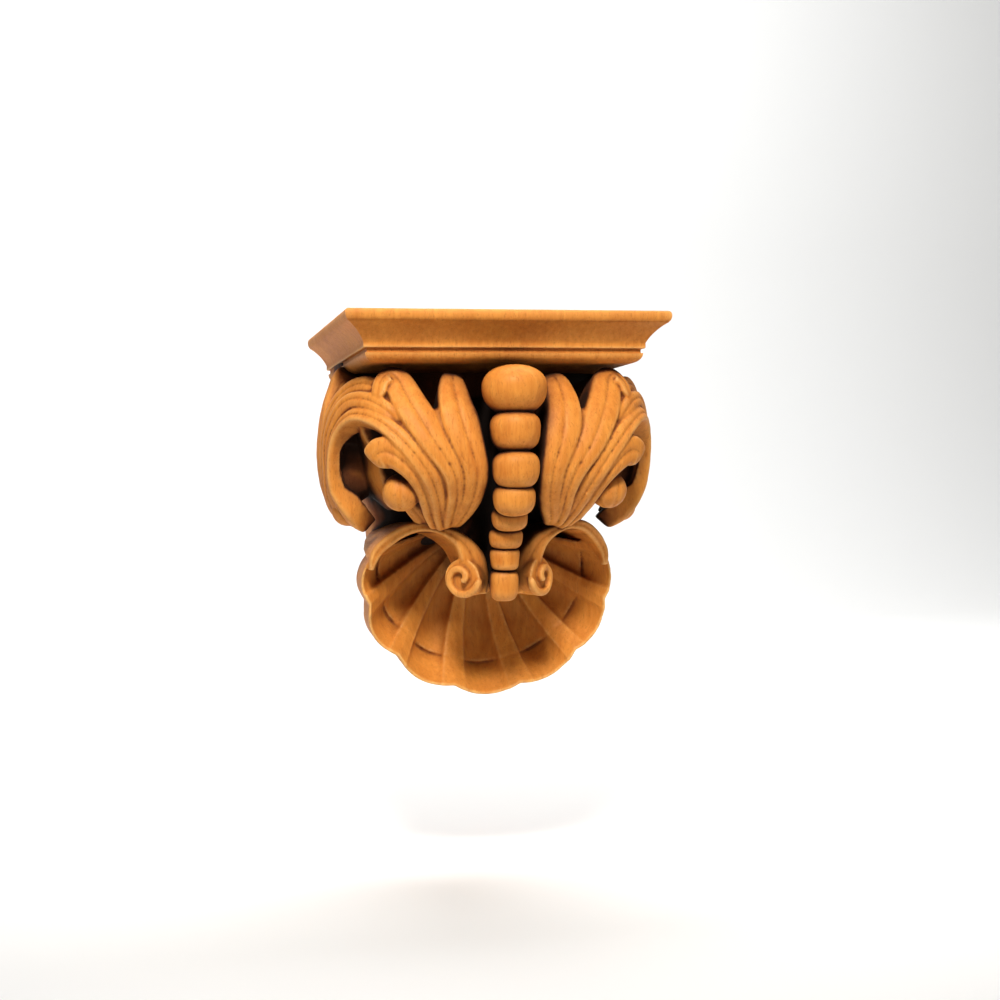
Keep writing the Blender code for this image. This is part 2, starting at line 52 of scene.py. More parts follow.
# Sizes of the whole block. The tables below hold percentages of these.
block = {
    "width": 0.254,  # the cap, across its top edge
    "projection": 0.200,  # wall to the cap's front top edge
    "halfHeight": packedHigh.z,
    "behindWall": 0.008,  # solids run past the wall before they are trimmed
    "handMarks": 0.00022,  # how far the gouge left the surface uneven
    "capMarks": 0.000077,  # the same on the cap, which is planed
    "markSpacing": 0.009,
    "markFade": 0.004,  # the marks fade out this near to the flat back
    "squareness": 4,  # of the block's cross-section
    "around": 48,  # points round it
    "voxel": 0.0016,
    "softening": 2,
    "triangles": 60000,
    # height, distance from the wall and half width, in percent
    "core": (
        (84, 48, 87),
        (60, 50, 86),
        (35, 52, 80),
        (10, 52, 72),
        (-6, 48, 67),
        (-14, 38, 65),
        (-28, 31, 63),
        (-45, 29, 56),
        (-62, 20, 44),
    ),
}
halfWidth = block["width"] / 2
halfHeight = block["halfHeight"]
projection = block["projection"]
millimetre = block["width"] / 254  # grows with the block
mergeGap = 0.00001  # points nearer than this are one


def place(x, y, z):
    # percent: across, out from the wall, and up
    return Vector((x * halfWidth, -y * projection, z * halfHeight)) / 100


# Node trees: a small kit for writing them, then one for each thing that repeats.


class Field:
    # A node socket that can be added, multiplied and so on like a number.
    def __init__(self, tree, socket):
        self.tree = tree
        self.socket = socket

    def maths(self, operation, *others):
        return put(self.tree, "ShaderNodeMath", (self, *others), operation=operation)

    def vectors(self, operation, *others):
        return put(self.tree, "ShaderNodeVectorMath", (self, *others), operation=operation)

    def __add__(self, other):
        return self.maths("ADD", other)

    def __sub__(self, other):
        return self.maths("SUBTRACT", other)

    def __mul__(self, other):
        return self.maths("MULTIPLY", other)

    def __truediv__(self, other):
        return self.maths("DIVIDE", other)

    def __pow__(self, other):
        return self.maths("POWER", other)

    def __abs__(self):
        return self.maths("ABSOLUTE")

    def __rsub__(self, other):
        return self * -1.0 + other

    __radd__ = __add__

    def limited(self):
        return self.maths("MAXIMUM", 0.0).maths("MINIMUM", 1.0)

    def scaled(self, amount):
        return put(self.tree, "ShaderNodeVectorMath", {0: self, "Scale": amount}, operation="SCALE")


def feed(tree, socket, value):
    if isinstance(value, Field):
        tree.links.new(value.socket, socket)
    else:
        socket.default_value = value


def put(tree, kind, values=(), output=0, **settings):
    # Adds a node, sets it, fills its inputs and gives back one of its outputs.
    node = tree.nodes.new(kind)
    for name, value in settings.items():
        setattr(node, name, value)
    pairs = values.items() if isinstance(values, dict) else enumerate(values)
    for name, value in pairs:
        feed(tree, node.inputs[name], value)
    return Field(tree, node.outputs[output])


def pick(choice, whenTrue, whenFalse):
    # choice is 0 or 1
    return whenFalse + (whenTrue - whenFalse) * choice


def startTree(name, sizes):
    tree = bpy.data.node_groups.new(name, "GeometryNodeTree")
    sockets = tree.interface
    sockets.new_socket("Geometry", in_out="INPUT", socket_type="NodeSocketGeometry")
    for label, value in sizes.items():
        kind = "NodeSocketInt" if isinstance(value, int) else "NodeSocketFloat"
        sockets.new_socket(label, in_out="INPUT", socket_type=kind).default_value = value
    sockets.new_socket("Finish", in_out="INPUT", socket_type="NodeSocketMaterial")
    sockets.new_socket("Geometry", in_out="OUTPUT", socket_type="NodeSocketGeometry")
    entry = tree.nodes.new("NodeGroupInput")
    fields = {socket.name: Field(tree, socket) for socket in entry.outputs if socket.name}
    return tree, fields


def endTree(tree, geometry, position, finish):
    moved = put(tree, "GeometryNodeSetPosition", {"Geometry": geometry, "Position": position})
    real = put(tree, "GeometryNodeRealizeInstances", {"Geometry": moved})
    done = put(tree, "GeometryNodeSetMaterial", {"Geometry": real, "Material": finish})
    leave = tree.nodes.new("NodeGroupOutput")
    tree.links.new(done.socket, leave.inputs[0])


def column(tree, name, kind="FLOAT"):
    return put(tree, "GeometryNodeInputNamedAttribute", (name,), data_type=kind)


def sampled(tree, geometry, value, index, kind="FLOAT"):
    # reads a value of another geometry at an index
    values = {"Geometry": geometry, "Value": value, "Index": index}
    return put(tree, "GeometryNodeSampleIndex", values, data_type=kind)


def addObject(name, data):
    thing = bpy.data.objects.new(name, data)
    bpy.context.scene.collection.objects.link(thing)
    return thing


def evaluated(thing):
    # the plain mesh that a thing's modifiers make; they are removed
    graph = bpy.context.evaluated_depsgraph_get()
    mesh = bpy.data.meshes.new_from_object(thing.evaluated_get(graph))
    thing.modifiers.clear()
    return mesh


def grow(tree, guide, values):
    # runs a tree on a guide mesh and gives back the plain mesh that it makes
    thing = addObject(tree.name, guide)
    modifier = thing.modifiers.new(tree.name, "NODES")
    modifier.node_group = tree
    for item in tree.interface.items_tree:
        if item.in_out == "INPUT" and item.name in values:
            modifier[item.identifier] = values[item.name]
    mesh = evaluated(thing)
    bpy.data.objects.remove(thing)
    return mesh


def guideMesh(points, **columns):
    # Points in a row, with one number or arrow for each in every named column.
    mesh = bpy.data.meshes.new("guide")
    mesh.from_pydata(points, [(i, i + 1) for i in range(len(points) - 1)], [])
    for name, values in columns.items():
        arrows = isinstance(values[0], Vector)
        kind = "FLOAT_VECTOR" if arrows else "FLOAT"
        layer = mesh.attributes.new(name, kind, "POINT")
        flat = [part for value in values for part in value] if arrows else values
        layer.data.foreach_set("vector" if arrows else "value", flat)
    return mesh


def bandTree():
    # a tapering band along a guide: domed top, rounded shoulders, steep sides, cut veins
    sizes = {
        "Stations": 60,
        "Sides": 34,
        "Shoulder": 0.002,
        "Dome": 0.15,
        "Veins": 3.0,
        "Vein Depth": 0.0006,
        "Tilt": 0.0,
        "Tip Drop": 0.006,
    }
    tree, given = startTree("carvedBand", sizes)
    sides = given["Sides"]
    grid = {"Vertices": sides, "Side Segments": given["Stations"] - 1}
    tube = put(tree, "GeometryNodeMeshCylinder", grid)
    index = put(tree, "GeometryNodeInputIndex")
    station = (index / sides).maths("FLOOR")
    corner = index - station * sides

    def read(name, kind="FLOAT"):
        return sampled(tree, given["Geometry"], column(tree, name, kind), station, kind)

    full = read("fullness")
    width = read("halfWidth") * full
    crown = read("crown")
    floor = read("floorDepth")

    sideCorners = 6
    topCorners = sides - sideCorners
    onTop = corner.maths("LESS_THAN", topCorners)
    past = corner - topCorners
    across = pick(onTop, corner * 2 / (topCorners - 1) - 1, (2.5 - past).maths("SIGN"))
    down = (3.5 - abs(past - 2.5)) / 3 * (1 - onTop)

    shoulder = given["Shoulder"]
    roll = (1 - (1 - abs(across)) * width / shoulder).limited()
    edge = shoulder * (1 - (1 - roll * roll).maths("SQRT"))
    veins = (1 - abs(((across + 1) * given["Veins"] * (math.pi / 2)).maths("SINE"))) ** 2.0
    tipDrop = ((crown - floor) * 0.3).maths("MINIMUM", given["Tip Drop"])
    top = crown - tipDrop * (1 - full) - edge
    top = top - given["Dome"] * width * across * across + given["Tilt"] * across
    top = top - veins * read("veined") * given["Vein Depth"]
    height = top + (floor - top) * down

    point = put(tree, "GeometryNodeInputPosition")
    middle = sampled(tree, given["Geometry"], point, station, "FLOAT_VECTOR")
    aside = read("across", "FLOAT_VECTOR").scaled(across * width)
    outwards = read("outward", "FLOAT_VECTOR").scaled(height)
    spot = middle.vectors("ADD", aside).vectors("ADD", outwards)
    endTree(tree, tube, spot, given["Finish"])
    return tree


def beadTree(sizes):
    # one rounded barrel on each guide point
    tree, given = startTree("beadString", sizes)
    grid = {"Segments": given["Segments"], "Rings": given["Rings"], "Radius": 1.0}
    ball = put(tree, "GeometryNodeMeshUVSphere", grid)
    point = put(tree, "GeometryNodeInputPosition")
    kept = {"Geometry": ball, "Name": "onBall", "Value": point}
    ball = put(tree, "GeometryNodeStoreNamedAttribute", kept, data_type="FLOAT_VECTOR")
    placed = put(tree, "GeometryNodeInstanceOnPoints", {"Points": given["Geometry"], "Instance": ball})
    real = put(tree, "GeometryNodeRealizeInstances", {"Geometry": placed})
    onBall = column(tree, "onBall", "FLOAT_VECTOR")
    centre = point.vectors("SUBTRACT", onBall)
    x, y, z = [put(tree, "ShaderNodeSeparateXYZ", (onBall,), output=i) for i in range(3)]
    power = column(tree, "squareness")
    around = (x * x + y * y).maths("SQRT")
    swell = ((around ** power + abs(z) ** power) ** (power ** -1.0)) ** -1.0
    wide = swell * column(tree, "halfWidth") * (z * given["Taper"] + 1)
    tall = swell * column(tree, "halfHeight")
    shape = put(tree, "ShaderNodeCombineXYZ", (x * wide, y * wide, z * tall))
    endTree(tree, real, centre.vectors("ADD", shape), given["Finish"])
    return tree


def mouldingTree(sizes):
    # Wraps a profile round the cap's left side, front and right side, with mitred corners.
    # The profile's points hold how far in and how far down they are.
    tree, given = startTree("mouldedCap", sizes)
    along = given["Along"]
    grid = {"Vertices X": along, "Vertices Y": given["Profile"]}
    sheet = put(tree, "GeometryNodeMeshGrid", grid)
    index = put(tree, "GeometryNodeInputIndex")
    step = (index / given["Profile"]).maths("FLOOR")
    row = index - step * given["Profile"]
    point = put(tree, "GeometryNodeInputPosition")
    profile = sampled(tree, given["Geometry"], point, row, "FLOAT_VECTOR")
    inward, down = [put(tree, "ShaderNodeSeparateXYZ", (profile,), output=i) for i in (0, 2)]
    walk = step * 3 / (along - 1)  # 0 to 3 round the three sides
    acrossShare = ((walk - 1.5) * 2).maths("MAXIMUM", -1.0).maths("MINIMUM", 1.0)
    outShare = walk.maths("MINIMUM", 3 - walk).maths("MINIMUM", 1.0)
    x = (given["Half Width"] - inward) * acrossShare
    y = (given["Projection"] - inward) * outShare * -1
    spot = put(tree, "ShaderNodeCombineXYZ", (x, y, given["Top"] - down))
    endTree(tree, sheet, spot, given["Finish"])
    return tree


def shellTree(sizes):
    # a fan of hollow flutes with a line cut round it, a swelling rim and a round back
    tree, given = startTree("scallopShell", sizes)
    fronts = given["Fronts"]
    around = fronts + given["Backs"]
    grid = {"Vertices": around, "Side Segments": given["Turns"]}
    tube = put(tree, "GeometryNodeMeshCylinder", grid)
    index = put(tree, "GeometryNodeInputIndex")
    ring = (index / around).maths("FLOOR")
    corner = index - ring * around
    onFront = corner.maths("LESS_THAN", fronts)
    outward = pick(onFront, corner / (fronts - 1), 1 - (corner - fronts) / (given["Backs"] - 1))
    share = outward * 0.98 + 0.02
    angle = (ring / given["Turns"] - 0.5) * given["Fan"]

    flute = ((angle / given["Fan"] + 0.5) * given["Flutes"]).maths("FRACT") * 2 - 1
    swell = (flute * (math.pi / 2)).maths("COSINE").maths("MAXIMUM", 0.0)
    fromHollow = (abs(flute) / given["Hollow Share"]).limited()
    hollow = (1 - fromHollow * fromHollow).maths("SQRT")
    sine = angle.maths("SINE")
    cosine = angle.maths("COSINE")
    drop = given["Focus"] - given["Middle"]
    radius = given["Radius"] + given["Scallop"] * (swell - 0.6)
    toRim = drop * cosine + (radius * radius - drop * sine * drop * sine).maths("SQRT")
    distance = toRim * share
    x = distance * sine
    z = given["Focus"] - distance * cosine
    above = z - given["Middle"]
    fromMiddle = ((x * x + above * above).maths("SQRT") / radius).limited()
    ear = angle / given["Fan"] * 2
    rimReach = given["Rim Reach"] + given["Ear Reach"] * ear * ear
    rise = ((fromMiddle - 0.3) / 0.7).limited()
    fluteDepth = given["Flute Depth"] * (distance / (given["Radius"] * 0.9)).limited()
    pastStep = (share - given["Step Share"]) / (1 - given["Step Share"])
    fluteDepth = fluteDepth * (1 - pastStep.limited() * 0.5)

    front = given["Bowl Reach"] + (rimReach - given["Bowl Reach"]) * rise * rise
    front = front - fluteDepth * hollow
    cut = (1 - pastStep * 2).maths("MAXIMUM", 0.0) * (share.maths("GREATER_THAN", given["Step Share"]))
    roll = (1 - (1 - share) * toRim / given["Rim Round"]).limited()
    rounding = given["Rim Round"] * (1 - (1 - roll * roll).maths("SQRT"))
    front = front - given["Step Depth"] * cut * (hollow * 0.8 + 0.2) - rounding
    edge = rimReach - given["Rim Thickness"]
    back = edge - (edge + given["Behind Wall"]) * (1 - rise * rise).limited().maths("SQRT")
    back = back - fluteDepth * hollow * rise + rounding
    reach = pick(onFront, front, back)
    drawn = given["Spread"] * (1 - given["Ear Draw"] * ear * ear * ear * ear)
    spot = put(tree, "ShaderNodeCombineXYZ", (x * drawn, reach * -1, z))
    endTree(tree, tube, spot, given["Finish"])
    return tree


# Shaping: curves, skins, and melting overlapping solids into one.


def smoothThrough(rows, steps):
    # a Catmull-Rom curve through rows of numbers
    rows = [Vector(row) for row in rows]
    rows = [2 * rows[0] - rows[1]] + rows + [2 * rows[-1] - rows[-2]]
    found = []
    for i in range(1, len(rows) - 2):
        before, start, end, after = rows[i - 1:i + 3]
        for step in range(steps):
            t = step / steps
            bend = (2 * before - 5 * start + 4 * end - after) * t ** 2
            twist = (3 * start - before - 3 * end + after) * t ** 3
            found.append(0.5 * (2 * start + (end - before) * t + bend + twist))
    return found + [rows[-2]]


def roundEnd(i, last, steps):
    # how full a band is near its ends, which close in a half round
    inward = min(1.0, min(i, last - i) / steps * 2)
    return math.sqrt(max(0.03, 1 - (1 - inward) ** 2))


def superellipse(angle, power):
    c = math.cos(angle)
    s = math.sin(angle)
    reach = (abs(c) ** power + abs(s) ** power) ** (-1 / power)
    return c * reach, s * reach


def meshFrom(bm, name):
    bmesh.ops.recalc_face_normals(bm, faces=bm.faces)
    mesh = bpy.data.meshes.new(name)
    bm.to_mesh(mesh)
    bm.free()
    return mesh


def opened(mesh):
    bm = bmesh.new()
    bm.from_mesh(mesh)
    return bm


def closeGaps(bm, edges):
    bmesh.ops.holes_fill(bm, edges=edges)
    bmesh.ops.triangulate(bm, faces=[face for face in bm.faces if len(face.verts) > 4])


def joined(meshes, name):
    bm = bmesh.new()
    for mesh in meshes:
        bm.from_mesh(mesh)
        bpy.data.meshes.remove(mesh)
    return meshFrom(bm, name)


def mirrored(mesh):
    bm = opened(mesh)
    bmesh.ops.transform(bm, matrix=Matrix.Diagonal((-1, 1, 1, 1)), verts=bm.verts)
    bmesh.ops.reverse_faces(bm, faces=bm.faces)
    other = bpy.data.meshes.new(mesh.name)
    bm.to_mesh(other)
    bm.free()
    return other


def turned(profile, centre, axis, steps):
    # spins a profile of radius and distance along the axis
    bm = bmesh.new()
    spots = [bm.verts.new((radius, 0, along)) for radius, along in profile]
    edges = [bm.edges.new(pair) for pair in zip(spots, spots[1:])]
    bmesh.ops.spin(bm, geom=spots + edges, axis=(0, 0, 1), angle=2 * math.pi, steps=steps,
                   use_duplicate=False)
    bmesh.ops.remove_doubles(bm, verts=bm.verts, dist=mergeGap)
    turn = axis.to_track_quat("Z", "Y").to_matrix().to_4x4()
    bmesh.ops.transform(bm, matrix=Matrix.Translation(centre) @ turn, verts=bm.verts)
    return meshFrom(bm, "turned")


def fused(mesh, sizes):
    # melts overlapping solids into one carved skin, then thins its flat places
    thing = addObject(mesh.name, mesh)
    remesh = thing.modifiers.new("oneSkin", "REMESH")
    remesh.mode = "VOXEL"
    remesh.voxel_size = sizes["voxel"] * 1
    soften = thing.modifiers.new("soften", "SMOOTH")
    soften.factor = 0.5
    soften.iterations = sizes["softening"]
    thing.data = evaluated(thing)
    count = sum(len(face.vertices) - 2 for face in thing.data.polygons)
    if count > sizes["triangles"]:
        thin = thing.modifiers.new("thin", "DECIMATE")
        thin.ratio = sizes["triangles"] / count
        thing.data = evaluated(thing)
    fine = thing.data
    bpy.data.objects.remove(thing)
    fine.name = mesh.name
    return fine


def trimmedAtWall(mesh):
    # cuts away what lies behind the wall and closes the cut flat
    bm = opened(mesh)
    geometry = bm.verts[:] + bm.edges[:] + bm.faces[:]
    cut = bmesh.ops.bisect_plane(bm, geom=geometry, plane_co=(0, 0, 0), plane_no=(0, 1, 0),
                                 clear_outer=True)
    closeGaps(bm, [item for item in cut["geom_cut"] if isinstance(item, bmesh.types.BMEdge)])
    bm.to_mesh(mesh)
    bm.free()
    return mesh


def meshArrays(mesh):
    # the places and directions of the points, and the pairs that the edges join
    spots = np.empty(len(mesh.vertices) * 3)
    ways = np.empty(len(mesh.vertices) * 3)
    edges = np.empty(len(mesh.edges) * 2, dtype=np.int64)
    mesh.vertices.foreach_get("co", spots)
    mesh.vertices.foreach_get("normal", ways)
    mesh.edges.foreach_get("vertices", edges)
    return spots.reshape(-1, 3), ways.reshape(-1, 3), edges.reshape(-1, 2)


def roughen(mesh, amount):
    # the slight unevenness that a gouge leaves
    spots, ways, edges = meshArrays(mesh)
    spacing = block["markSpacing"]
    swell = np.array([noise.noise(Vector(spot) / spacing) for spot in spots])
    inFront = np.clip(-spots[:, 1] / block["markFade"], 0, 1)
    spots += ways * (swell * inFront * amount)[:, None]
    mesh.vertices.foreach_set("co", spots.ravel())


# Finishes: the figure of the wood, its wear, and the painted shade and highlight on it.


def startGroup(name, inputs, outputs):
    group = bpy.data.node_groups.new(name, "ShaderNodeTree")
    for label, value in inputs.items():
        socket = group.interface.new_socket(label, in_out="INPUT", socket_type="NodeSocketFloat")
        socket.default_value = value
    for label in outputs:
        group.interface.new_socket(label, in_out="OUTPUT", socket_type="NodeSocketFloat")
    entry = group.nodes.new("NodeGroupInput")
    leave = group.nodes.new("NodeGroupOutput")
    fields = {socket.name: Field(group, socket) for socket in entry.outputs if socket.name}
    return group, fields, leave


def stretched(tree, spacing, along):
    # object coordinates counted in spacings, drawn out along the grain, which runs up
    spot = put(tree, "ShaderNodeTexCoord", output=3)
    count = spacing ** -1.0
    scale = put(tree, "ShaderNodeCombineXYZ", (count, count, count * along))
    return spot.vectors("MULTIPLY", scale)


def between(value, low, high):
    return ((value - low) / (high - low)).limited()


def woodFigureGroup():
    # streaks along the grain, open pores and broad mottling
    sizes = {"Streak Spacing": 0.004, "Pore Spacing": 0.0012, "Mottle Spacing": 0.03}
    group, given, leave = startGroup("woodFigure", sizes, ("Streaks", "Pores", "Mottle"))

    def grain(spacing, along, detail):
        vector = stretched(group, spacing, along)
        values = {"Vector": vector, "Scale": 1.0, "Detail": detail, "Roughness": 0.6}
        return put(group, "ShaderNodeTexNoise", values)

    streaks = between(grain(given["Streak Spacing"], 0.12, 4.0), 0.3, 0.7)
    pores = between(grain(given["Pore Spacing"], 0.3, 2.0), 0.56, 0.72)
    mottle = between(grain(given["Mottle Spacing"], 0.6, 3.0), 0.3, 0.7)
    for socket, value in zip(leave.inputs, (streaks, pores, mottle)):
        feed(group, socket, value)
    return group


def paintedLightGroup():
    # wax patina and painted shade darken the hollows and creases, painted shadow blackens the deepest
    # ones, and arrises are rubbed pale with a painted highlight
    amounts = {"Wax And Shade": 1.0, "Rub And Highlight": 1.0, "Patch Spacing": 0.012}
    group, given, leave = startGroup("paintedLightAndWear", amounts, ("Dark", "Pale", "Painted Shadow"))

    def painted(name):
        return put(group, "ShaderNodeAttribute", output=2, attribute_name=name)

    vector = stretched(group, given["Patch Spacing"], 1.0)
    patches = put(group, "ShaderNodeTexNoise", {"Vector": vector, "Scale": 1.0, "Detail": 3.0})
    uneven = between(patches, 0.25, 0.75) * 0.5 + 0.75
    recess = painted("recess")
    # recess and creased paint shade into the hollows and creases, along with their wax patina
    hollowWaxAndShade = between(recess, 0.06, 0.5) ** 1.2 + painted("creased") * 0.9
    dark = hollowWaxAndShade * given["Wax And Shade"] * uneven
    # convex arrises are rubbed pale, partly a painted highlight
    pale = painted("wearAndPaintedLight") * (1 - recess) * given["Rub And Highlight"] * uneven
    feed(group, leave.inputs["Dark"], dark.limited())
    feed(group, leave.inputs["Pale"], pale.limited())
    # the deepest hollows get painted shadow, near black
    feed(group, leave.inputs["Painted Shadow"], between(recess, 0.4, 0.66) * given["Wax And Shade"])
    return group


wood = {
    "honey": (0.76, 0.30, 0.050),
    "amber": (0.53, 0.155, 0.020),
    # umber is wax patina with painted shade in the hollows; the next colour is painted shadow, near
    # black, for the deepest hollows
    "umber": (0.15, 0.036, 0.010),
    "shadowBlack": (0.012, 0.006, 0.004),
    # pale is rubbed wear with a painted highlight on the arrises
    "pale": (0.90, 0.52, 0.17),
    "pore": (0.30, 0.09, 0.02),
    "paleShare": 0.75,  # how far each colour covers what lies under it
    "poreShare": 0.35,
    "waxAndShadeCover": 0.9,
    "roughness": 0.55,
    "bump": 0.00018,
    "gloss": 0.15,
    "coat": 0.03,
    "coatRoughness": 0.35,
}
woodFigure = woodFigureGroup()
paintedLightAndWear = paintedLightGroup()


def blendColours(tree, share, low, high):
    values = {0: share, 6: low, 7: high}
    return put(tree, "ShaderNodeMix", values, output=2, data_type="RGBA")


def waxedWood(name, figure, shadeAndWear):
    material = bpy.data.materials.new(name)
    material.use_nodes = True
    tree = material.node_tree
    shader = tree.nodes["Principled BSDF"]

    def effect(group, values):
        node = tree.nodes.new("ShaderNodeGroup")
        node.node_tree = group
        for label, value in values.items():
            node.inputs[label].default_value = value
        return {socket.name: Field(tree, socket) for socket in node.outputs}

    def colour(label):
        return (*wood[label], 1)

    grain = effect(woodFigure, figure)
    wearAndPaintedLight = effect(paintedLightAndWear, shadeAndWear)
    tone = grain["Streaks"] * 0.55 + grain["Mottle"] * 0.45
    mixed = blendColours(tree, tone, colour("amber"), colour("honey"))
    # arrises rubbed pale, partly a painted highlight
    mixed = blendColours(tree, wearAndPaintedLight["Pale"] * wood["paleShare"], mixed, colour("pale"))
    mixed = blendColours(tree, grain["Pores"] * wood["poreShare"], mixed, colour("pore"))
    # hollows and creases darkened by wax patina and painted shade, the deepest to near-black painted
    # shadow
    mixed = blendColours(tree, wearAndPaintedLight["Dark"] * wood["waxAndShadeCover"], mixed, colour("umber"))
    mixed = blendColours(tree, wearAndPaintedLight["Painted Shadow"] * wood["waxAndShadeCover"], mixed, colour("shadowBlack"))
    feed(tree, shader.inputs["Base Color"], mixed)
    rough = wood["roughness"] + grain["Pores"] * 0.2 + wearAndPaintedLight["Dark"] * 0.2 - wearAndPaintedLight["Pale"] * 0.08
    feed(tree, shader.inputs["Roughness"], rough)
    height = grain["Streaks"] * 0.35 - grain["Pores"]
    bump = put(tree, "ShaderNodeBump", {"Height": height, "Strength": 1.0, "Distance": wood["bump"]})
    feed(tree, shader.inputs["Normal"], bump)
    shader.inputs["Specular IOR Level"].default_value = wood["gloss"]
    shader.inputs["Coat Weight"].default_value = wood["coat"]
    shader.inputs["Coat Roughness"].default_value = wood["coatRoughness"]
    material.diffuse_color = colour("honey")
    return material


carvingFigure = {"Streak Spacing": 0.004, "Pore Spacing": 0.0013, "Mottle Spacing": 0.02}
waxedCarving = waxedWood(
    "waxedCarving",
    carvingFigure,
    {"Wax And Shade": 1.0, "Rub And Highlight": 1.0, "Patch Spacing": 0.012},
)
# the block behind the carving gets the most painted shade; the shell and moulding get less
waxedGroundInPaintedShade = waxedWood(
    "waxedGroundInPaintedShade",
    carvingFigure,
    {"Wax And Shade": 1.3, "Rub And Highlight": 0.3, "Patch Spacing": 0.016},
)
waxedShell = waxedWood(
    "waxedShell",
    carvingFigure,
    {"Wax And Shade": 0.55, "Rub And Highlight": 0.9, "Patch Spacing": 0.016},
)
waxedMoulding = waxedWood(
    "waxedMoulding",
    {"Streak Spacing": 0.003, "Pore Spacing": 0.0011, "Mottle Spacing": 0.045},
    {"Wax And Shade": 0.35, "Rub And Highlight": 0.9, "Patch Spacing": 0.02},
)
print("finishes ready")

pieces = {}  # finished meshes and their finishes, by name

# The moulded cap, laid out from its top down.

cap = {
    "fascia": 0.0080,  # upright band under the top edge
    "coveHeight": 0.0155,
    "coveReach": 0.0160,  # how far the cove runs in
    "coveHollow": 0.0018,  # how deep the cove bows in
    "fillet": 0.0042,
    "quirkHeight": 0.0034,  # sunk line under the fillet
    "quirkDepth": 0.0030,
    "torusHeight": 0.0074,  # rounded lower member
    "torusReach": 0.0085,
    "arris": 0.0012,  # rounding of the edges
    "roll": 0.0038,  # rounding of the fascia
    "facet": 0.0022,  # longest step along the profile
    "alongSide": 90,  # steps along each side
}


def capCorners():
    # how far in, how far down and how rounded each corner of the profile is, from the top
    arris = cap["arris"]
    corners = [(halfWidth, 0, 0), (0, 0, cap["roll"]), (0, cap["fascia"], cap["roll"])]
    foot = cap["fascia"] + cap["coveHeight"]
    slope = Vector((cap["coveHeight"], -cap["coveReach"])).normalized()
    steps = 12
    for i in range(1, steps):
        t = i / steps
        bow = slope * cap["coveHollow"] * 4 * t * (1 - t)
        corners.append((cap["coveReach"] * t + bow.x, cap["fascia"] + cap["coveHeight"] * t + bow.y, 0))
    corners.append((cap["coveReach"], foot, 0))
    foot += cap["fillet"]
    corners.append((cap["coveReach"], foot, arris))
    sunk = cap["coveReach"] + cap["quirkDepth"]
    corners.append((sunk, foot, 0))
    foot += cap["quirkHeight"]
    corners.append((sunk, foot, 0))
    start = cap["coveReach"] + cap["quirkDepth"] / 2
    corners.append((start, foot, 0))
    for i in range(1, steps + 1):
        turn = math.pi / 2 * i / steps
        inward = start + cap["torusReach"] * (1 - math.cos(turn))
        corners.append((inward, foot + cap["torusHeight"] * math.sin(turn), 0))
    corners.append((halfWidth, foot + cap["torusHeight"], 0))
    return corners


def easedProfile(corners):
    # rounds the corners and shares out points between them
    bends = []
    for i, (inward, down, radius) in enumerate(corners):
        corner = Vector((inward, down))
        if radius == 0:
            bends.append([corner])
            continue
        ends = [corner + (Vector(corners[j][:2]) - corner).normalized() * radius
                for j in (i - 1, i + 1)]
        bends.append([ends[0].lerp(corner, t).lerp(corner.lerp(ends[1], t), t)
                      for t in (0, 0.2, 0.4, 0.6, 0.8, 1)])
    points = list(bends[0])
    for bend in bends[1:]:
        gap = (bend[0] - points[-1]).length
        steps = min(24, max(1, math.ceil(gap / cap["facet"])))
        start = points[-1]
        points += [start.lerp(bend[0], k / steps) for k in range(1, steps)] + bend
    return points


def buildCap():
    profile = easedProfile(capCorners())
    guide = guideMesh([Vector((point.x, 0, point.y)) for point in profile])
    sizes = {
        "Along": 3 * cap["alongSide"] + 1,
        "Profile": len(profile),
        "Half Width": halfWidth,
        "Projection": projection,
        "Top": halfHeight,
    }
    mesh = grow(mouldingTree(sizes), guide, {"Finish": waxedMoulding, **sizes})
    bm = opened(mesh)
    bmesh.ops.remove_doubles(bm, verts=bm.verts, dist=mergeGap)
    closeGaps(bm, [edge for edge in bm.edges if edge.is_boundary])
    return meshFrom(bm, "capMoulding")


pieces["capMoulding"] = (buildCap(), waxedMoulding)
print("cap moulding made")

# The string of beads down the middle.

beads = {
    # distance from the wall, height, half width and half height in percent, squareness
    "rows": (
        (101, 59, 19.4, 12.8, 2.2),
        (101, 38.5, 15.0, 10.9, 2.6),
        (101, 19.3, 14.1, 9.9, 2.7),
        (98, 4.6, 12.6, 8.6, 2.7),
        (91, -5.2, 10.8, 6.4, 2.8),
        (85, -15.2, 10.2, 5.8, 3.0),
        (83, -25.8, 8.9, 5.9, 4.5),
        (81, -39.2, 8.9, 8.5, 3.2),
    ),
    "taper": 0.07,  # how much narrower each bead is at its foot
    "segments": 72,
    "rings": 48,
    "ribWidth": 19 * millimetre,  # the rib that ties the beads to the block
    "ribBack": 36,  # how near to the wall it starts, in percent
}


def buildBeads():
    rows = beads["rows"]
    guide = guideMesh(
        [place(0, row[0], row[1]) for row in rows],
        halfWidth=[row[2] * halfWidth / 100 for row in rows],
        halfHeight=[row[3] * halfHeight / 100 for row in rows],
        squareness=[float(row[4]) for row in rows],
    )
    sizes = {"Segments": beads["segments"], "Rings": beads["rings"], "Taper": beads["taper"]}
    return grow(beadTree(sizes), guide, {"Finish": waxedCarving, **sizes})


pieces["beadString"] = (buildBeads(), waxedCarving)
print("beads made")


def skinned(rings, name):
    # joins rings with equal numbers of points into a closed skin
    bm = bmesh.new()
    rings = [[bm.verts.new(point) for point in ring] for ring in rings]
    for lower, upper in zip(rings, rings[1:]):
        for i in range(len(lower)):
            j = i - 1
            bm.faces.new((lower[i], lower[j], upper[j], upper[i]))
    bm.faces.new(rings[0])
    bm.faces.new(rings[-1])
    return meshFrom(bm, name)


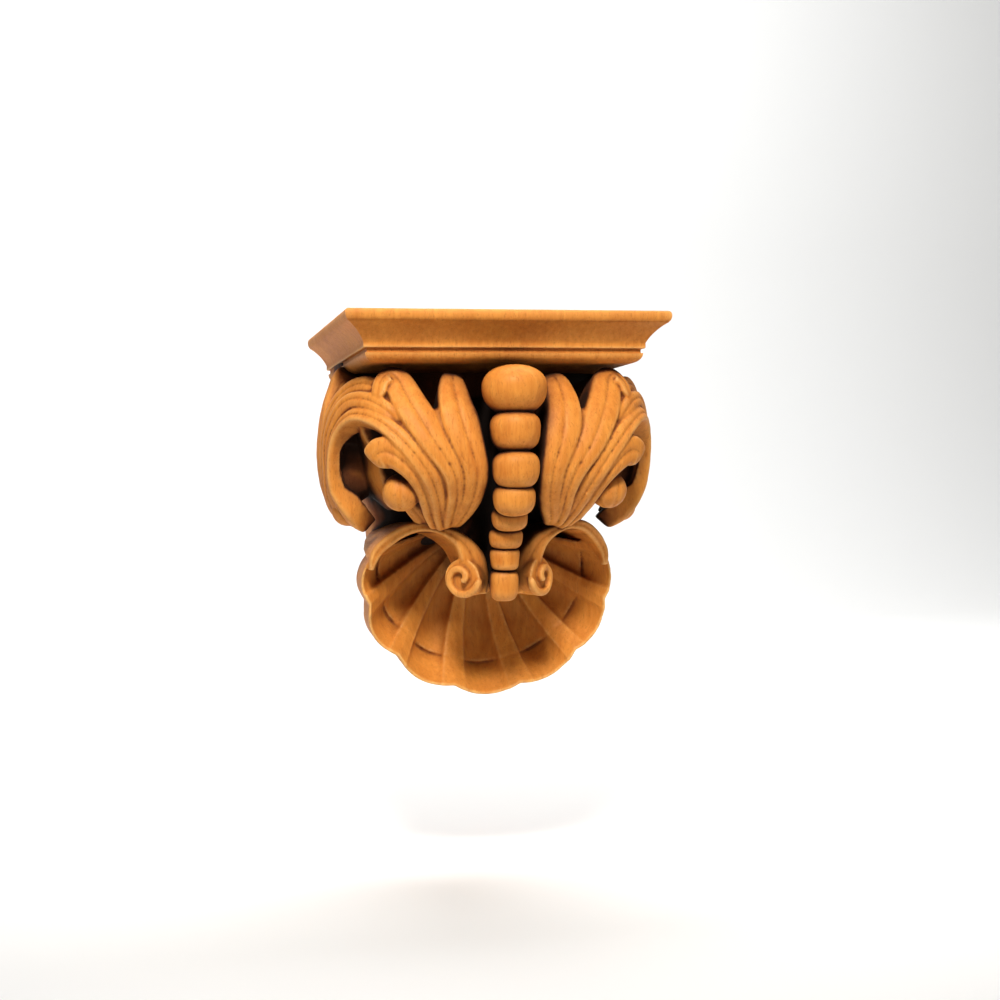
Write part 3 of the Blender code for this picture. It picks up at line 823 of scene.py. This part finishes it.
def buildBlock():
    # the wood left behind the carving, and the rib behind the beads
    rings = []
    for height, reach, half in block["core"]:
        front = place(half, reach, height)
        middle = (front.y + block["behindWall"]) / 2
        ring = []
        for k in range(block["around"]):
            u, v = superellipse(2 * math.pi * k / block["around"], block["squareness"])
            ring.append(Vector((front.x * u, middle + (block["behindWall"] - middle) * v, front.z)))
        rings.append(ring)
    core = skinned(rings, "core")
    rings = []
    half = beads["ribWidth"] / 2
    back = place(0, beads["ribBack"], 0).y
    for row in beads["rows"]:
        centre = place(0, row[0], row[1])
        near = centre.y + beads["ribWidth"] / 4
        corners = ((-half, near), (half, near), (half, back), (-half, back))
        rings.append([Vector((x, y, centre.z)) for x, y in corners])
    rib = skinned(rings, "rib")
    mesh = fused(joined([core, rib], "carvedBlock"), block)
    return trimmedAtWall(mesh)


pieces["carvedBlock"] = (buildBlock(), waxedGroundInPaintedShade)
print("block made")

# The scallop shell at the foot, and the scrolls that curl in over it.

shellRadius = 101 * millimetre  # the round of its rim
shellScallop = 5.0 * millimetre  # how far the rim swells at each flute
shell = {
    # the inputs of its tree
    "sizes": {
        "Turns": 234,  # steps round the fan
        "Fronts": 90,  # steps out along its front, and back behind it
        "Backs": 30,
        "Radius": shellRadius,
        "Fan": math.radians(153),
        "Focus": place(0, 0, -5).z,  # the point the flutes fan from
        "Middle": shellRadius + 0.4 * shellScallop - halfHeight,
        "Flutes": 7.0,
        "Hollow Share": 0.62,  # how much of each flute is hollow, the rest is rib
        "Flute Depth": 8.5 * millimetre,
        "Scallop": shellScallop,
        "Step Depth": 4.5 * millimetre,  # the line cut round the bowl
        "Step Share": 0.83,  # how far out it lies on the way to the rim
        "Rim Reach": 0.55 * projection,
        "Bowl Reach": 0.36 * projection,
        "Ear Reach": 0.085 * projection,  # how much further out the ears stand
        "Spread": 1.065,  # how much wider than round it is
        "Ear Draw": 0.1,  # how far the ears draw in from that, as a share
        "Rim Thickness": 9 * millimetre,
        "Rim Round": 2.6 * millimetre,
        "Behind Wall": block["behindWall"],
    },
    "voxel": 0.0009,
    "softening": 1,
    "triangles": 180000,
}
scroll = {
    # from the volute to the ear: across, out from the wall and up in percent, then half
    # thickness as a share and depth in millimetres
    "path": (
        (15.5, 77, -44, 2.0, 30),
        (16, 78.5, -34.5, 2.3, 34),
        (18.5, 79.5, -25, 2.2, 40),
        (26, 80, -16, 1.4, 56),
        (37, 79, -10.5, 0.85, 76),
        (48, 77, -8.5, 0.85, 96),
        (58, 73.5, -10.5, 1.0, 96),
        (66.5, 69, -15.5, 1.0, 84),
        (72.4, 65, -21, 0.95, 50),
        (75, 63.2, -26, 0.75, 14),
        (76, 61.4, -31, 0.45, 6),
    ),
    "rowSteps": 10,  # stations from one row to the next
    "thickness": 9 * millimetre,
    "shoulder": 1.8 * millimetre,
    "veins": 2.0,
    "veinDepth": 1.6 * millimetre,
    "veinStart": 12,  # stations over which the veins deepen from the volute
    "voluteEye": (26.6, 79, -35.5),
    "voluteRadius": 15 * millimetre,  # to the middle of its rolled edge
    "voluteLength": 34 * millimetre,
    "rollTurns": 1.15,
    "rollEdge": 2.8 * millimetre,  # half the thickness of the rolled edge
    "rollDepth": 2.6 * millimetre,  # how far the rolled edge stands out
    "voluteTurn": math.radians(42),  # how far the eye looks outwards
}

carvedBand = bandTree()


def growBand(points, across, outward, rows, sizes):
    # each row holds half width, crown, floor, how full and how veined the band is there
    names = ("halfWidth", "crown", "floorDepth", "fullness", "veined")
    columns = dict(zip(names, map(list, zip(*rows))))
    guide = guideMesh(points, across=across, outward=outward, **columns)
    values = {"Stations": len(points), "Finish": waxedCarving, **sizes}
    return grow(carvedBand, guide, values)


def sideways(points, outward):
    # which way lies across a band at each of its points
    last = len(points) - 1
    found = []
    for i, out in enumerate(outward):
        along = points[min(i + 1, last)] - points[max(i - 1, 0)]
        found.append(along.cross(out).normalized())
    return found


def scrollBand():
    stations = smoothThrough(scroll["path"], scroll["rowSteps"])
    points = [place(*row[:3]) for row in stations]
    outward = [Vector((0, -1, 0))] * len(points)
    rows = []
    for i, row in enumerate(stations):
        veined = min(1.0, i / scroll["veinStart"])
        half = scroll["thickness"] / 2 * row[3]
        rows.append((half, 0.0, -row[4] * millimetre, 1.0, veined))
    across = [-way for way in sideways(points, outward)]
    return growBand(points, across, outward, rows, {
        "Dome": 0.1,
        "Shoulder": scroll["shoulder"],
        "Veins": scroll["veins"],
        "Vein Depth": scroll["veinDepth"],
    })


def volute():
    # the rolled end of the scroll: a drum, and the edge that winds in towards its middle
    radius = scroll["voluteRadius"]
    length = scroll["voluteLength"]
    edge = scroll["rollEdge"]
    centre = place(*scroll["voluteEye"])
    turn = scroll["voluteTurn"]
    axis = Vector((math.sin(turn), -math.cos(turn), 0))
    aside = Vector((math.cos(turn), math.sin(turn), 0))
    sunk = -scroll["rollDepth"]
    drum = turned([(0, -length), (radius * 0.9, -length), (radius, sunk), (0, sunk)], centre, axis, 48)
    last = 60
    points = []
    across = []
    rows = []
    for i in range(last + 1):
        share = i / last
        angle = math.pi + (1 - share) * scroll["rollTurns"] * 2 * math.pi
        away = aside * math.cos(angle) + Vector((0, 0, math.sin(angle)))
        points.append(centre + away * (edge + (radius - edge) * share))
        across.append(away)
        rows.append((edge, edge * (1 - share), sunk * 2, roundEnd(i, last, 6), 0.0))
    rolled = growBand(points, across, [axis] * (last + 1), rows, {
        "Dome": 0.1,
        "Shoulder": edge * 0.7,
    })
    return joined([drum, rolled], "volute")


def buildShell():
    sizes = shell["sizes"]
    empty = bpy.data.meshes.new("empty")
    parts = [grow(shellTree(sizes), empty, {"Finish": waxedShell, **sizes})]
    for part in (scrollBand(), volute()):
        parts += [mirrored(part), part]
    mesh = fused(joined(parts, "scallopShell"), shell)
    return trimmedAtWall(mesh)


pieces["scallopShell"] = (buildShell(), waxedShell)
print("shell made")

# The acanthus leaves that wrap the corners.

leaf = {
    # the swelling surface the leaf lies on: height, distance from the wall and half width
    "belly": (
        (-30, 70, 74),
        (-20, 78, 82),
        (-12, 84, 90),
        (-5, 89, 98),
        (5, 95, 104),
        (17, 100, 107),
        (32, 101, 108),
        (48, 98, 106),
        (57, 94, 104),
        (67, 89, 100),
        (75, 84, 97),
        (85, 78, 92),
    ),
    "bellySteps": 12,  # from one of those rows to the next
    "squareness": 4.5,
    "sideTurn": math.radians(68),  # past this turn the sides draw in towards the wall
    "sideTaper": 0.09,
    "shoulder": 2.0 * millimetre,  # rounding of a lobe's long edges
    "veinDepth": 1.3 * millimetre,
    "curlRadius": 13 * millimetre,  # rolled end at the foot of the side
    "curlPlace": (89, 56, 1),
    "knobRadius": 14.6 * millimetre,  # bud in the hollow under the arch
    "knobTurn": 22.3,
    "knobHeight": 4,
    "knobSunk": 13 * millimetre,
    "knobPetals": 5,
    "petalCut": 0.06,
    "rowSteps": 10,  # stations from one row of a lobe to the next
    "voxel": 0.00085,
    "softening": 2,
    "triangles": 190000,
}

# Each lobe is a band on the belly, from one end to the other: degrees round from the front,
# height in percent, then half width, crown and floor above the belly in millimetres.
lobes = {
    "inner": (
        (4.0, 73, 7, -6, -12), (4.5, 67, 10, -1, -20), (4.4, 58, 13, 1, -32),
        (3.7, 45, 15, 2, -40), (2.7, 32, 13, 2, -40), (1.9, 20, 10.5, 2, -40),
        (1.9, 9, 9.5, 1, -36), (2.5, 0, 8, 0, -30), (3.8, -8, 6, -3, -22),
        (5.2, -14, 4, -8, -20),
    ),
    "second": (
        (31.0, 56, 5.5, 3, -4), (30.2, 63, 8, 5, -8), (26.6, 67.6, 9.5, 5, -10),
        (22.6, 66.2, 11, 3, -16), (18.8, 58.8, 13, 2, -28), (14.0, 47.5, 13.5, 1, -38),
        (8.9, 32, 11, 2, -40), (5.6, 20, 9, 2, -40), (4.5, 9, 8, 1, -36),
        (4.8, 0, 7, 0, -30), (5.6, -8, 6, -3, -22), (6.6, -14, 4, -7, -20),
    ),
    "archRim": (
        (8.2, -16, 5, -8, -22), (8.0, -8, 6, -4, -26), (8.2, 1, 6.5, -1, -28),
        (9.4, 10, 7, 0, -30), (11.4, 18, 7.5, 1, -30), (14.4, 25.5, 7.5, 1, -30),
        (18.6, 33, 7.5, 1, -30), (24.5, 40, 7, 1, -26), (32.0, 45.5, 6.5, 1, -22),
        (42.0, 49, 6, 0, -20), (51.5, 48.5, 6, 0, -20), (60.0, 43.5, 5.5, 0, -15),
        (65.8, 34.5, 5, 0, -10), (68.6, 22, 5.2, 0, -10), (68.8, 12, 6.5, 0, -12),
        (67.3, 4, 8.7, -1, -18), (65.2, -4, 10, -2, -20), (65.0, -9.5, 9, -3, -20),
        (65.4, -14, 7, -7, -20),
    ),
    "archMiddle": (
        (19.5, 41, 4, -5, -22), (26.0, 49, 7, 0, -24), (36.0, 55.5, 7.5, 1, -22),
        (50.0, 57, 7, 1, -20), (60.5, 51.5, 7, 1, -16), (67.5, 41, 7, 1, -12),
        (70.5, 28, 7, 0, -12), (71.5, 15, 8, 0, -14), (71.2, 4, 9.5, 0, -20),
        (70.0, -8, 8.5, -3, -20),
    ),
    "archBack": (
        (21.5, 51, 5, -5, -20), (27.0, 58, 8, -1, -18), (36.0, 64, 8, 0, -18),
        (49.0, 65, 8, 0, -20), (61.5, 59.5, 8, 0, -18), (70.0, 49, 8, 0, -16),
        (74.2, 36, 8, 0, -16), (75.5, 21, 9, 0, -18), (75.6, 8, 10, 0, -22),
        (74.5, -1, 10, -1, -22), (72.5, -11, 7.5, -4, -20),
    ),
    "thumb": (
        (36.0, 23.5, 11, -2, -14), (32.0, 28.0, 12.5, 0, -20), (26.6, 29.0, 11.5, 0, -24),
        (21.2, 25.5, 10, 0, -28), (16.4, 18.8, 8.5, 0, -28), (13.2, 10.0, 7, -1, -28),
        (11.4, 1.0, 6.5, -2, -28), (10.8, -8.0, 6, -5, -26), (10.4, -16, 5, -9, -24),
    ),
    "bud": (
        (23.0, 3.5, 9, -20, -48), (20.0, -4.5, 9, -18, -48), (16.5, -11.5, 9, -14, -44),
        (13.0, -17.0, 7, -12, -40),
    ),
    "side1": (
        (78, 80, 7, -3, -16), (79, 68, 11, 0, -24), (79.5, 46, 13, 1, -28),
        (79, 22, 12, 1, -26), (77, 6, 9, -2, -26), (75, -5, 7, -6, -26),
    ),
    "side2": (
        (84.5, 78, 8, -3, -18), (84.8, 66, 12, 0, -24), (84.5, 43, 13, 1, -28),
        (82.5, 20, 12, 1, -26), (79, 5, 9, -2, -26), (76, -5, 7, -6, -26),
    ),
    "side3": (
        (89, 70, 8, -3, -18), (88.6, 58, 11, 0, -24), (87.8, 36, 12, 1, -28),
        (85.2, 13, 11, 0, -26), (80.5, 2, 8, -4, -26), (77, -6, 6, -8, -26),
    ),
}

# How each lobe is cut: number of vein spaces, how domed and how far it leans in millimetres.
cuts = {
    "inner": (2.0, 0.16, -0.8),
    "second": (2.0, 0.16, -1.4),
    "archRim": (2.0, 0.12, 1.0),
    "archMiddle": (2.0, 0.2, -1.4),
    "archBack": (2.0, 0.2, -1.4),
    "thumb": (2.0, 0.16, 0.0),
    "bud": (2.0, 0.4, 0.0),
    "side1": (3.0, 0.2, 0.0),
    "side2": (3.0, 0.2, 0.0),
    "side3": (3.0, 0.2, 0.0),
}
bedCut = (1.0, 0.1, 0.0)

# The beds that the lobes stand on, sunk below the belly.
beds = (
    (
        (10.5, 54, 14, -5, -80), (10, 46, 25, -2, -80), (8, 35, 29, -1, -80),
        (6, 20, 23, -1, -80), (5, 6, 16, -3, -80), (5, -8, 8, -8, -70),
    ),
    (
        (42, 66, 16, -5, -60), (54, 54, 16, -7, -60), (64, 36, 19, -28, -64),
        (64, 14, 20, -32, -64), (58, -4, 18, -32, -64), (46, -16, 14, -30, -64),
    ),
    (
        (83, 76, 22, -9, -44), (82, 48, 32, -5, -44), (82, 30, 34, -5, -44),
        (79, 12, 24, -6, -44), (76, -4, 14, -10, -44),
    ),
)

bellyCurve = smoothThrough(leaf["belly"], leaf["bellySteps"])


def belly(angle, height):
    # a point of the swelling surface, degrees round and percent up
    for lower, upper in zip(bellyCurve, bellyCurve[1:]):
        if height <= upper[0]:
            break
    t = min(1.0, max(0.0, (height - lower[0]) / (upper[0] - lower[0])))
    reach, half = [a + (b - a) * t for a, b in zip(lower[1:], upper[1:])]
    turn = math.radians(min(max(angle, 0), 90))
    power = 2 / leaf["squareness"]
    past = max(0.0, turn - leaf["sideTurn"]) / (math.pi / 2 - leaf["sideTurn"])
    across = half * math.sin(turn) ** power * (1 - leaf["sideTaper"] * past * past)
    return place(across, reach * max(0.0, math.cos(turn)) ** power, height)


def bellyNormal(angle, height):
    stepRound = belly(min(angle + 0.8, 89.9), height) - belly(max(0.01, angle - 0.8), height)
    stepUp = belly(angle, height + 3) - belly(angle, height - 3)
    return stepRound.cross(stepUp).normalized()


def lobeBand(rows, cut, veinDepth):
    steps = leaf["rowSteps"]
    stations = smoothThrough(rows, steps)
    last = len(stations) - 1
    points = [belly(row[0], row[1]) for row in stations]
    outward = [bellyNormal(row[0], row[1]) for row in stations]
    rows = []
    for i, row in enumerate(stations):
        half, crown, floor = [size * millimetre for size in row[2:]]
        veined = min(1.0, min(i, last - i) / steps)
        rows.append((half, crown, floor, roundEnd(i, last, steps), veined))
    veins, dome, lean = cut
    return growBand(points, sideways(points, outward), outward, rows, {
        "Shoulder": leaf["shoulder"],
        "Dome": dome,
        "Veins": veins,
        "Vein Depth": veinDepth,
        "Tilt": lean * millimetre,
    })


def ball(centre, radius, petals=0, cut=0.0):
    # a ball, with upright creases between its petals where it has any
    bm = bmesh.new()
    bmesh.ops.create_uvsphere(bm, u_segments=60, v_segments=32, radius=radius)
    for vert in bm.verts:
        crease = 1 - abs(math.sin(math.atan2(vert.co.y, vert.co.x) * petals / 2)) if petals else 0
        vert.co *= 1 - cut * crease ** 3
        vert.co += centre
    return meshFrom(bm, "ball")


def buildLeaf():
    # the leaf on the +X side
    parts = [lobeBand(rows, cuts[name], leaf["veinDepth"]) for name, rows in lobes.items()]
    parts += [lobeBand(rows, bedCut, 0.0) for rows in beds]
    parts.append(ball(place(*leaf["curlPlace"]), leaf["curlRadius"]))
    seat = belly(leaf["knobTurn"], leaf["knobHeight"])
    seat -= bellyNormal(leaf["knobTurn"], leaf["knobHeight"]) * leaf["knobSunk"]
    parts.append(ball(seat, leaf["knobRadius"], leaf["knobPetals"], leaf["petalCut"]))
    return trimmedAtWall(fused(joined(parts, "leaf"), leaf))


rightLeaf = buildLeaf()
pieces["leafRight"] = (rightLeaf, waxedCarving)
pieces["leafLeft"] = (mirrored(rightLeaf), waxedCarving)
print("leaves made")

# Wear and painted light: what lies deep gets wax patina and painted shade, what stands out is rubbed
# pale with a painted highlight.

shadeAndWear = {
    "reach": 0.075,  # how far a hollow's walls may be
    "rays": 36,
    "samples": 16000,  # points of each piece that are looked from
    "lift": 0.0006,  # how far off the surface they start
    "spreadRounds": 14,  # how often what is found there spreads to the neighbours
    "evening": 5,  # how often the bending is evened out
    "arrisRadius": 0.0030,  # larger radii here widen the rubbed, painted-highlight edges and the painted shade of the creases
    "creaseRadius": 0.0046,
}


def neighbourMean(values, edges):
    total = np.bincount(edges[:, 0], values[edges[:, 1]], len(values))
    total += np.bincount(edges[:, 1], values[edges[:, 0]], len(values))
    shared = np.bincount(edges.ravel(), minlength=len(values))
    return total / np.maximum(shared, 1)


def bending(spots, ways, edges):
    # how sharply the surface turns at each point, above 0 where it stands out
    start, end = edges[:, 0], edges[:, 1]
    step = spots[end] - spots[start]
    turn = ((ways[end] - ways[start]) * step).sum(1) / np.maximum((step * step).sum(1), 1e-9)
    total = np.bincount(start, turn, len(spots)) + np.bincount(end, turn, len(spots))
    shared = np.bincount(edges.ravel(), minlength=len(spots))
    sharp = total / np.maximum(shared, 1)
    for _ in range(shadeAndWear["evening"]):
        sharp = 0.5 * sharp + 0.5 * neighbourMean(sharp, edges)
    return sharp


def skyRays(count):
    # an even spread of directions over a half ball, closer together round its pole
    golden = math.pi * (3 - math.sqrt(5))
    found = []
    for i in range(count):
        height = math.sqrt((i + 0.5) / count)
        flat = math.sqrt(1 - height * height)
        found.append(Vector((flat * math.cos(i * golden), flat * math.sin(i * golden), height)))
    return found


def hollows(spots, ways, edges, tree, seed):
    # how shut in each point is: rays from some of the points, spread out to the rest
    rng = np.random.default_rng(seed)
    chosen = np.flatnonzero(rng.random(len(spots)) < shadeAndWear["samples"] / len(spots))
    rays = skyRays(shadeAndWear["rays"])
    shut = np.zeros(len(spots))
    for i in chosen:
        way = Vector(ways[i])
        start = Vector(spots[i]) + way * shadeAndWear["lift"]
        turn = way.to_track_quat("Z", "Y").to_matrix()
        near = 0.0
        for ray in rays:
            distance = tree.ray_cast(start, turn @ ray, shadeAndWear["reach"])[3]
            if distance is not None:
                near += 1 - (distance / shadeAndWear["reach"]) ** 2
        shut[i] = near / len(rays)
    known = np.zeros(len(spots), dtype=bool)
    known[chosen] = True
    weight = known.astype(float)
    value = shut.copy()
    for _ in range(shadeAndWear["spreadRounds"]):
        spread = neighbourMean(value * weight, edges)
        carried = neighbourMean(weight, edges)
        mean = spread / np.maximum(carried, 1e-6)
        value = np.where(weight > 0.5, 0.5 * value + 0.5 * mean, mean)
        weight = np.where(carried > 1e-6, 1.0, weight)
    return value


def writeColumn(mesh, name, values):
    layer = mesh.attributes.new(name, "FLOAT", "POINT")
    layer.data.foreach_set("value", np.clip(values, 0, 1).astype(np.float32))


def addShadeAndWear():
    corners = []
    faces = []
    for mesh, _ in pieces.values():
        first = len(corners)
        corners += [vertex.co.copy() for vertex in mesh.vertices]
        faces += [[first + i for i in face.vertices] for face in mesh.polygons]
    tree = BVHTree.FromPolygons(corners, faces)
    for seed, (mesh, _) in enumerate(pieces.values()):
        spots, ways, edges = meshArrays(mesh)
        sharp = bending(spots, ways, edges)
        # convex edges: rubbed wear and painted highlight
        writeColumn(mesh, "wearAndPaintedLight", sharp * shadeAndWear["arrisRadius"] - 0.15)
        # concave creases: painted shade
        writeColumn(mesh, "creased", -sharp * shadeAndWear["creaseRadius"] - 0.1)
        # shut-in places: wax patina and painted shade
        writeColumn(mesh, "recess", hollows(spots, ways, edges, tree, seed) * 1.25 - 0.1)


for name, (mesh, _) in pieces.items():
    roughen(mesh, block["capMarks" if name == "capMoulding" else "handMarks"])
addShadeAndWear()
for name, (mesh, finish) in pieces.items():
    mesh.name = name
    mesh.materials.clear()
    mesh.materials.append(finish)
    mesh.shade_smooth()
    if name == "capMoulding":
        mesh.set_sharp_from_angle(angle=math.radians(35))
    piece = addObject(name, mesh)
    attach(piece, "root")
    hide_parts("corbel")
    print(name, sum(len(face.vertices) - 2 for face in mesh.polygons), "triangles")
print("wear and finishes put on")

# Camera, paper and lamps.

studio = {
    "eye": (-0.3092, -1.3, -0.003),
    "aim": (-0.0888, -0.2, 0.0077),
    "roll": math.radians(-1.0),
    "lens": 54.73,
    "shift": 0.1005,
    "floor": -0.30,  # height of the paper, well below the foot
    "paper": (0.86, 0.86, 0.85),
    "keySpread": math.radians(50),  # narrow, so that it lights little of the paper
    # place, aim, size, power and colour
    "lamps": {
        "key": ((-0.35, -1.25, 1.1), (0, -0.1, -0.02), 0.4, 2.7, (1.0, 0.97, 0.92)),
        "fill": ((1.3, -1.5, 0.2), (0, -0.1, 0), 1.2, 2.2, (1.0, 0.97, 0.94)),
        "side": ((-1.6, -0.5, 0.3), (0, -0.1, 0), 0.9, 0.6, (1.0, 0.98, 0.9)),
        "backdrop": ((0.5, 1.0, 2.6), (0.5, 3.0, 0.2), 2.5, 130, (1.0, 1.0, 1.0)),
    },
    "sky": 0.18,
}


def facing(spot, aim):
    # stands at one spot and looks at another
    turn = (Vector(aim) - Vector(spot)).to_track_quat("-Z", "Y").to_matrix().to_4x4()
    return Matrix.Translation(spot) @ turn


def addCamera():
    data = bpy.data.cameras.new("camera")
    data.lens = studio["lens"]
    data.sensor_width = 36
    data.shift_x = studio["shift"]
    camera = addObject("camera", data)
    roll = Matrix.Rotation(studio["roll"], 4, "Z")
    camera.matrix_world = facing(studio["eye"], studio["aim"]) @ roll
    bpy.context.scene.camera = camera


def addFloor():
    # pale paper that sweeps up behind the corbel
    bm = bmesh.new()
    steps = 24
    bend = 1.2
    wide = 6.0
    back = 2.4
    line = [(-4.0, 0.0)]
    for i in range(steps + 1):
        turn = math.pi / 2 * i / steps
        line.append((back + bend * math.sin(turn), bend * (1 - math.cos(turn))))
    line.append((back + bend, 4.0))
    rows = []
    for y, z in line:
        rows.append([bm.verts.new((x, y, z + studio["floor"])) for x in (-wide, wide)])
    for lower, upper in zip(rows, rows[1:]):
        bm.faces.new((lower[0], lower[1], upper[1], upper[0]))
    mesh = meshFrom(bm, "studioFloor")
    mesh.shade_smooth()
    paper = bpy.data.materials.new("palePaper")
    paper.use_nodes = True
    shader = paper.node_tree.nodes["Principled BSDF"]
    shader.inputs["Base Color"].default_value = (*studio["paper"], 1)
    shader.inputs["Roughness"].default_value = 0.9
    mesh.materials.append(paper)
    floor = addObject("studioFloor", mesh)


def addLamps():
    for name, (spot, aim, size, power, colour) in studio["lamps"].items():
        data = bpy.data.lights.new(name, "AREA")
        data.size = size
        data.energy = power
        data.color = colour
        data.spread = studio["keySpread"] if name == "key" else math.pi
        lamp = addObject(name, data)
        lamp.matrix_world = facing(spot, aim)
    world = bpy.data.worlds.new("softRoom")
    world.use_nodes = True
    background = world.node_tree.nodes["Background"]
    background.inputs["Color"].default_value = (1, 1, 1, 1)
    background.inputs["Strength"].default_value = studio["sky"]
    bpy.context.scene.world = world


bpy.context.scene.view_settings.view_transform = "Standard"
addCamera()
addFloor()
addLamps()
print("studio ready")
